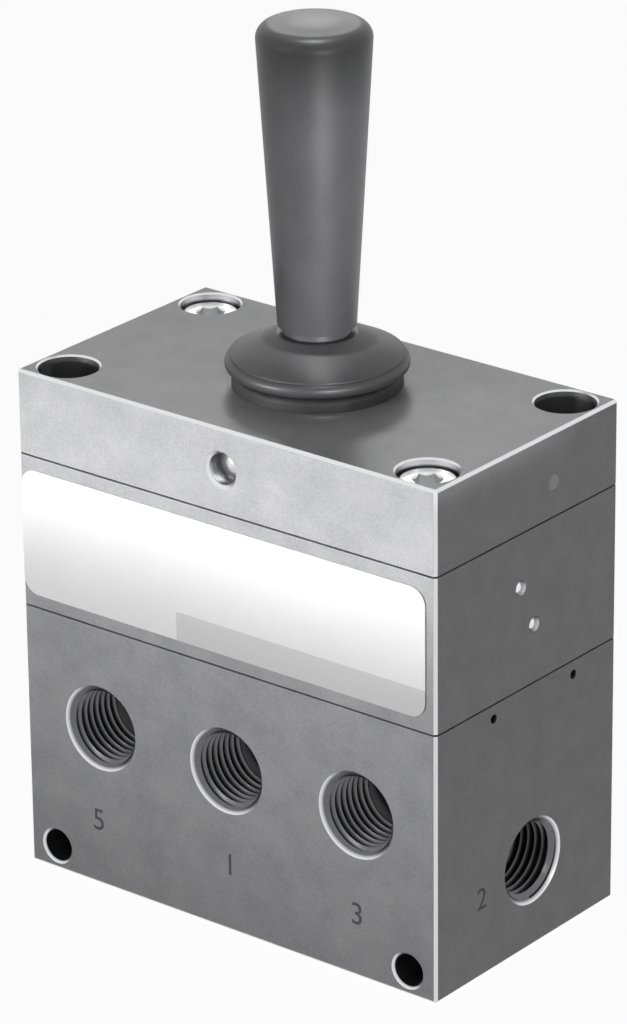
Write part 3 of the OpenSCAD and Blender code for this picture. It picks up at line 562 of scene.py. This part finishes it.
PILOT_X = 10 * MM
sleeve_brass = turned_metal("sleeve_brass", BRASS, 0.26, PILOT_X, VALVE_Y)
ground_plunger = turned_metal("ground_plunger", GROUND_STEEL, 0.16, PILOT_X, VALVE_Y)
for side in SIDE_NAME.values():
    finish(nodes[f"pilot_sleeve_{side}"], sleeve_brass)
    finish(nodes[f"pilot_plunger_{side}"], ground_plunger)
    finish(nodes[f"sleeve_rings_{side}"], nitrile)
    working_spring(f"pilot_spring_{side}")
finish(nodes["ball_plugs"], cut_metal("polished_ball", (0.92, 0.92, 0.93), 0.2))

# Cover plate
# Top plate of the stack, anodised like the blocks below it. A flush plug closes the drilling in
# its right face, and the end of the pivot pin shows in the hole of its front face.

# Painted light: the cover's grey is the palest of the three, for light that is strongest at the top.
cover_finish = anodised_block("anodised_cover", "cover_plate", (0.33, 0.33, 0.34), (0.45, 0.45, 0.46),
                              UPPER_RIM)
finish(nodes["cover_plate"], cover_finish)
finish(nodes["cover_plug"], cut_metal("plug_aluminium", (0.23, 0.23, 0.235), 0.5))
finish(nodes["pivot_pin"], cut_metal("pin_steel", (0.68, 0.68, 0.69), 0.2))

# Cap screws
# Four zinc-plated socket head screws clamp the stack. Their heads have a knurled side, a
# bevelled rim and a pressed hexagon socket, and the shanks are threaded at their lower end.

HEAD_R = 4.25 * MM
HEAD_H = 5 * MM
HEAD_BEVEL = 0.25 * MM
SHANK_R = 2.5 * MM
CORE_R = 2.05 * MM
END_BEVEL = 0.4 * MM
KEY = 4 * MM
SOCKET_DEPTH = 2.5 * MM
SOCKET_MOUTH_R = KEY / 2 + 0.33 * MM
SOCKET_MOUTH_DEPTH = 0.5 * MM
KNURL_TEETH = 36
KNURL_LOW = 0.5 * MM
KNURL_HIGH = 4.2 * MM
KNURL_RATIO = 0.955
INTO_CORE = 0.05 * MM
SCREW_PITCH = 0.8 * MM
SCREW_TURNS = 22
SCREW_START = 0.6 * SCREW_PITCH
SCREW_X = 34.3 * MM
SCREW_Y = 16.9 * MM
FRONT, BACK = -1, 1
END_NAME = {FRONT: "front", BACK: "back"}


def cylinder(radius, low_z, high_z, sides):
    """Upright cylinder about the origin, from z = low_z to z = high_z."""
    start_clean()
    bpy.ops.mesh.primitive_cylinder_add(vertices=sides, radius=radius, depth=high_z - low_z,
                                        location=(0, 0, (low_z + high_z) / 2))
    settle(bpy.context.object)
    return bpy.context.object


def bevel_ring(piece, z, width, segments, beyond=0):
    """In edit mode, bevels the edges that lie at height z and further than beyond from the axis."""
    choose(piece, "EDGE", lambda a, b: max(abs(a.z - z), abs(b.z - z)) < NEAR
           and min(a.xy.length, b.xy.length) > beyond)
    bpy.ops.mesh.bevel(offset=width, segments=segments)


def knurl_valley(co):
    """Whether a point of the head lies on every second line down its knurled side."""
    line = round(math.atan2(co.x, co.y) * KNURL_TEETH / math.pi)
    return line % 2 == 1 and KNURL_LOW - NEAR < co.z < KNURL_HIGH + NEAR


def cap_screw(shank):
    """Socket head cap screw with its seat at z = 0 and its shank along -Z."""
    screw = cylinder(HEAD_R, 0, HEAD_H, sides=2 * KNURL_TEETH)
    edit(screw)
    for level in (KNURL_LOW, KNURL_HIGH):
        bpy.ops.mesh.select_all(action="SELECT")
        bpy.ops.mesh.bisect(plane_co=(0, 0, level), plane_no=(0, 0, 1))
    choose(screw, "VERT", knurl_valley)
    bpy.ops.transform.resize(value=(KNURL_RATIO, KNURL_RATIO, 1), center_override=(0, 0, 0))
    bevel_ring(screw, HEAD_H, HEAD_BEVEL, segments=3)
    cut_away(screw, cylinder(KEY / math.sqrt(3), HEAD_H - SOCKET_DEPTH, 2 * HEAD_H - SOCKET_DEPTH, sides=6))
    countersink(screw, SOCKET_MOUTH_R, HEAD_H, SOCKET_MOUTH_DEPTH, sides=48)
    core = cylinder(CORE_R, -shank, 0, sides=48)
    edit(core)
    bevel_ring(core, -shank, END_BEVEL, segments=1)
    neck = cylinder(SHANK_R, (SCREW_TURNS + 1) * SCREW_PITCH - shank, 0, sides=48)
    ridge = thread_ridge(CORE_R - INTO_CORE, SHANK_R, SCREW_START - shank, SCREW_PITCH, SCREW_TURNS,
                         steps=32, root_share=0.86, crest_share=0.15)
    pick(screw)
    for piece in (core, neck, ridge):
        piece.select_set(True)
    bpy.ops.object.join()
    smooth(screw)
    return screw


zinc_plate = cut_metal("zinc_plate", (0.88, 0.88, 0.89), 0.42)
for kind, socket_turn, places in (("long_screws", 12, ((RIGHT, FRONT), (LEFT, BACK))),
                                  ("short_screws", 40, ((LEFT, FRONT), (RIGHT, BACK)))):
    low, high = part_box(kind)
    seat_z = high.z - HEAD_H
    model = cap_screw(shank=seat_z - low.z)
    finish(model, zinc_plate)
    for side, end in places:
        screw = copy_to(model, f"cap_screw_{END_NAME[end]}_{SIDE_NAME[side]}",
                        (side * SCREW_X, end * SCREW_Y, seat_z), (0, 0, math.radians(socket_turn)))
        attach(screw, "housing")
        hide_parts(kind)
    bpy.data.objects.remove(model)

# Rocker and rod
# The rocker is pressed and sintered steel, dark with oil, and turns on the pin. The lever's rod
# is turned steel and is screwed into the rocker's boss.

pivot = Vector(next(joint["pos_m"] for joint in frame["joints"] if joint["name"] == "lever_tilt"))
finish(nodes["rocker"], cut_metal("sintered_steel", (0.22, 0.22, 0.23), 0.45))
finish(nodes["lever_rod"], turned_metal("rod_steel", (0.62, 0.62, 0.63), 0.22, pivot.x, pivot.y))

# Neck ring
# Soft black rubber ring that lies on the cover plate round the neck of the lever, to keep dirt
# out of the rocker's pocket. Its outer shoulder is rounded and its inner edge is countersunk.

RING_R = 13 * MM
RING_SHOULDER = 1 * MM
NECK_R = 7 * MM
NECK_MOUTH_R = NECK_R + 0.6 * MM
NECK_MOUTH_DEPTH = 1.1 * MM
low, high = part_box("neck_ring")
neck_ring = cylinder(RING_R, low.z, high.z, sides=128)
neck_ring.name = "rubber_neck_ring"
edit(neck_ring)
bevel_ring(neck_ring, high.z, RING_SHOULDER, segments=6)
cut_away(neck_ring, cylinder(NECK_R, low.z - RING_R, high.z + RING_R, sides=96))
countersink(neck_ring, NECK_MOUTH_R, high.z, NECK_MOUTH_DEPTH, sides=96)
neck_ring.location.y = pivot.y
settle(neck_ring)
smooth(neck_ring, degrees=35)
finish(neck_ring, moulded_rubber("neck_rubber", (0.014, 0.014, 0.014), (0.03, 0.03, 0.03), 0.6))
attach(neck_ring, "housing")
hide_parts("neck_ring")

# Lever skirt
# Round black plastic moulding with a rolled rim and a low cone, hollow below so that it clears
# the neck ring as the lever tilts. The rod's collar holds it up against the handle.

SKIRT_R = 14 * MM
RIM_H = 2.45 * MM
RIM_ROUND = 0.95 * MM
STEP_H = 0.3 * MM
STEP_ROUND = 0.08 * MM
CONE_TOP_R = 6.1 * MM
CONE_TOP_ROUND = 0.15 * MM
ROOF_T = 1.9 * MM
HOLLOW_R = 16.11 * MM
ROD_BORE_R = 4.02 * MM
black_plastic, tree, shader = new_material("satin_moulding", {"Specular IOR Level": 0.45})
skin = add_skin(tree, cloud=6 * MM, grain=0.25 * MM)
feed(tree, shader, {
    "Base Color": tint(tree, skin["Tone"], (0.03, 0.03, 0.032), (0.05, 0.05, 0.052), half_range=0.15),
    "Roughness": ranged(tree, skin["Tone"], 0.3, 0.7, start=0.38, end=0.46),
    "Normal": relief(tree, skin["Height"], strength=0.25, depth=0.01 * MM)})
low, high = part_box("lever_skirt")
rim_top = low.z + RIM_H
skirt = cylinder(SKIRT_R, low.z, rim_top - STEP_H, sides=160)
skirt.name = "skirt_moulding"
edit(skirt)
choose(skirt, "EDGE", lambda a, b: abs(a.z - b.z) < NEAR)
bpy.ops.mesh.bevel(offset=RIM_ROUND, segments=8)
choose(skirt, "FACE", lambda face: face.normal.z > 0.99)
bpy.ops.mesh.extrude_region_move(TRANSFORM_OT_translate={"value": (0, 0, STEP_H)})
bpy.ops.mesh.extrude_region_move(TRANSFORM_OT_translate={"value": (0, 0, high.z - rim_top)})
taper = CONE_TOP_R / (SKIRT_R - RIM_ROUND)
bpy.ops.transform.resize(value=(taper, taper, 1), center_override=(0, 0, high.z))
bevel_ring(skirt, high.z, CONE_TOP_ROUND, segments=3)
bevel_ring(skirt, rim_top, STEP_ROUND, segments=2)
start_clean()
bpy.ops.mesh.primitive_uv_sphere_add(segments=128, ring_count=96, radius=HOLLOW_R, location=(0, 0, pivot.z))
hollow = bpy.context.object
settle(hollow)
edit(hollow)
bpy.ops.mesh.bisect(plane_co=(0, 0, high.z - ROOF_T), plane_no=(0, 0, 1), clear_outer=True, use_fill=True)
cut_away(skirt, hollow)
cut_away(skirt, cylinder(ROD_BORE_R, low.z, high.z + RIM_H, sides=64))
skirt.location.y = pivot.y
settle(skirt)
smooth(skirt)
finish(skirt, black_plastic)
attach(skirt, "lever")
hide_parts("lever_skirt")

# Lever handle
# Tapered black plastic moulding, wider towards its crowned top, pushed on the rod, with a shallow
# groove round its foot. Measured in the photo it is 1.1 mm taller than in the CAD.

FOOT_R = 6 * MM
FOOT_ROUND = 0.15 * MM
TOP_R = 8.85 * MM
TOP_EDGE_R = 2.4 * MM
CROWN = 0.5 * MM
CROWN_SHARES = (0.5, 0.34, 0.16)
CROWN_STEP = 1.6 * MM
EXTRA_HEIGHT = 1.1 * MM
GROOVE = 1.1 * MM
GROOVE_DEPTH = 0.8 * MM
ROD_DEPTH = 38.4 * MM
low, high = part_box("lever_handle")
foot_z = low.z + GROOVE
shoulder_z = high.z + EXTRA_HEIGHT - CROWN


def crown_face(face):
    """Whether a face is the round flat one in the middle of the top."""
    return face.normal.z > 0.99 and face.center.z > shoulder_z - NEAR and face.center.xy.length < NEAR


handle = cone(FOOT_R, TOP_R, foot_z, shoulder_z, sides=160)
handle.name = "handle_moulding"
edit(handle)
choose(handle, "FACE", lambda face: face.normal.z < -0.9)
bpy.ops.mesh.inset(thickness=GROOVE_DEPTH)
bpy.ops.mesh.extrude_region_move(TRANSFORM_OT_translate={"value": (0, 0, -GROOVE)})
bpy.ops.mesh.inset(thickness=FOOT_R - GROOVE_DEPTH - ROD_BORE_R)
bpy.ops.mesh.extrude_region_move(TRANSFORM_OT_translate={"value": (0, 0, ROD_DEPTH)})
bevel_ring(handle, shoulder_z, TOP_EDGE_R, segments=10)
bevel_ring(handle, foot_z, FOOT_ROUND, segments=3, beyond=FOOT_R - NEAR)
for share in CROWN_SHARES:
    choose(handle, "FACE", crown_face)
    bpy.ops.mesh.inset(thickness=CROWN_STEP)
    bpy.ops.transform.translate(value=(0, 0, CROWN * share))
bpy.ops.object.mode_set(mode="OBJECT")
handle.location.y = pivot.y
settle(handle)
smooth(handle)
finish(handle, black_plastic)
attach(handle, "lever")
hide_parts("lever_handle")

# Studio
# A wide pale floor and an even pale surround. Two soft lamps stand low at the front left, one at
# the right, one behind for the top faces, and two narrow ones light the lever and its skirt.

FLOOR_SIZE = 8
FLOOR_GAP = 0.05 * MM
FLOOR_GLOW = 1.11
FLOOR_SHARE = 0.85
FILL = 0.125


def seen_rays(tree, share):
    """share for camera, glossy and transmission rays, which show the background, and 0 for others."""
    path = add_node(tree, "ShaderNodeLightPath")
    seen = maths(tree, "MAXIMUM", path["Is Camera Ray"], path["Is Glossy Ray"])
    return maths(tree, "MULTIPLY", maths(tree, "MAXIMUM", seen, path["Is Transmission Ray"]), share)


pale_floor, tree, shader = new_material("pale_floor", {"Base Color": (0.80, 0.80, 0.80, 1),
                                                       "Roughness": 0.9})
glow = add_node(tree, "ShaderNodeEmission", {"Strength": FLOOR_GLOW})
surface = add_node(tree, "ShaderNodeMixShader", {0: seen_rays(tree, FLOOR_SHARE), 1: shader.outputs["BSDF"],
                                                 2: glow["Emission"]})
feed(tree, tree.nodes["Material Output"], {"Surface": surface["Shader"]})
start_clean()
bpy.ops.mesh.primitive_plane_add(size=FLOOR_SIZE, location=(0, 0, -FLOOR_GAP))
floor = bpy.context.object
floor.name = "studio_floor"
settle(floor)
finish(floor, pale_floor)

world = bpy.data.worlds.new("pale_surround")
bpy.context.scene.world = world
world.use_nodes = True
tree = world.node_tree
feed(tree, tree.nodes["Background"], {"Color": (1, 1, 1, 1),
                                      "Strength": maths(tree, "ADD", seen_rays(tree, 1 - FILL), FILL)})


def soft_lamp(name, bearing, distance, height, size, watts, aim_z, spread):
    """Rectangular lamp, placed by its bearing from the front face and aimed at the lever's axis."""
    lamp = bpy.data.lights.new(name, "AREA")
    lamp.shape = "RECTANGLE"
    lamp.size, lamp.size_y = size
    lamp.energy = watts
    lamp.spread = math.radians(spread)
    stand = bpy.data.objects.new(name, lamp)
    bpy.context.scene.collection.objects.link(stand)
    turn = math.radians(bearing)
    stand.location = (distance * math.sin(turn), -distance * math.cos(turn), height)
    aim = Vector((0, 0, aim_z)) - stand.location
    stand.rotation_euler = aim.to_track_quat("-Z", "Y").to_euler()


soft_lamp("front_lamp", bearing=-21, distance=0.45, height=0.075, size=(0.30, 0.03), watts=0.0245,
          aim_z=0.075, spread=5)
soft_lamp("body_lamp", bearing=-21, distance=0.45, height=0.13, size=(0.20, 0.08), watts=0.036,
          aim_z=0.055, spread=20)
soft_lamp("side_lamp", bearing=77, distance=0.6, height=0.22, size=(0.04, 0.2), watts=0.025,
          aim_z=0.10, spread=60)
soft_lamp("back_lamp", bearing=218.7, distance=0.6, height=0.39, size=(0.2, 0.14), watts=0.0075,
          aim_z=0.139, spread=14)
soft_lamp("lever_lamp", bearing=54, distance=0.45, height=0.11, size=(0.06, 0.044), watts=0.0195,
          aim_z=0.11, spread=3)
soft_lamp("skirt_lamp", bearing=0, distance=0.004, height=0.40, size=(0.0195, 0.0195), watts=0.00094,
          aim_z=0.09, spread=1)

# Camera
# Stands at the front right, a little above the valve, with a long lens.

AZIMUTH = math.radians(38.7465)
ELEVATION = math.radians(22.8487)
ROLL = math.radians(-0.6001)
DISTANCE = 822.044 * MM
TARGET = Vector((-0.5145, 0, 61.909)) * MM
LENS = 190.23
SENSOR = 36
away = Vector((math.sin(AZIMUTH) * math.cos(ELEVATION), -math.cos(AZIMUTH) * math.cos(ELEVATION),
               math.sin(ELEVATION)))
level = (-away).cross(Vector((0, 0, 1))).normalized()
upright = level.cross(-away)
across = level * math.cos(ROLL) + upright * math.sin(ROLL)
up = upright * math.cos(ROLL) - level * math.sin(ROLL)
camera_data = bpy.data.cameras.new("camera")
camera_data.lens = LENS
camera_data.sensor_width = SENSOR
camera_data.sensor_fit = "AUTO"
camera_data.clip_start = 0.01
camera_data.clip_end = 50
camera = bpy.data.objects.new("camera", camera_data)
bpy.context.scene.collection.objects.link(camera)
turn = Matrix((across, up, away)).transposed().to_4x4()
camera.matrix_world = Matrix.Translation(TARGET + away * DISTANCE) @ turn
bpy.context.scene.camera = camera
bpy.context.scene.view_settings.view_transform = "Standard"

bpy.context.view_layer.update()
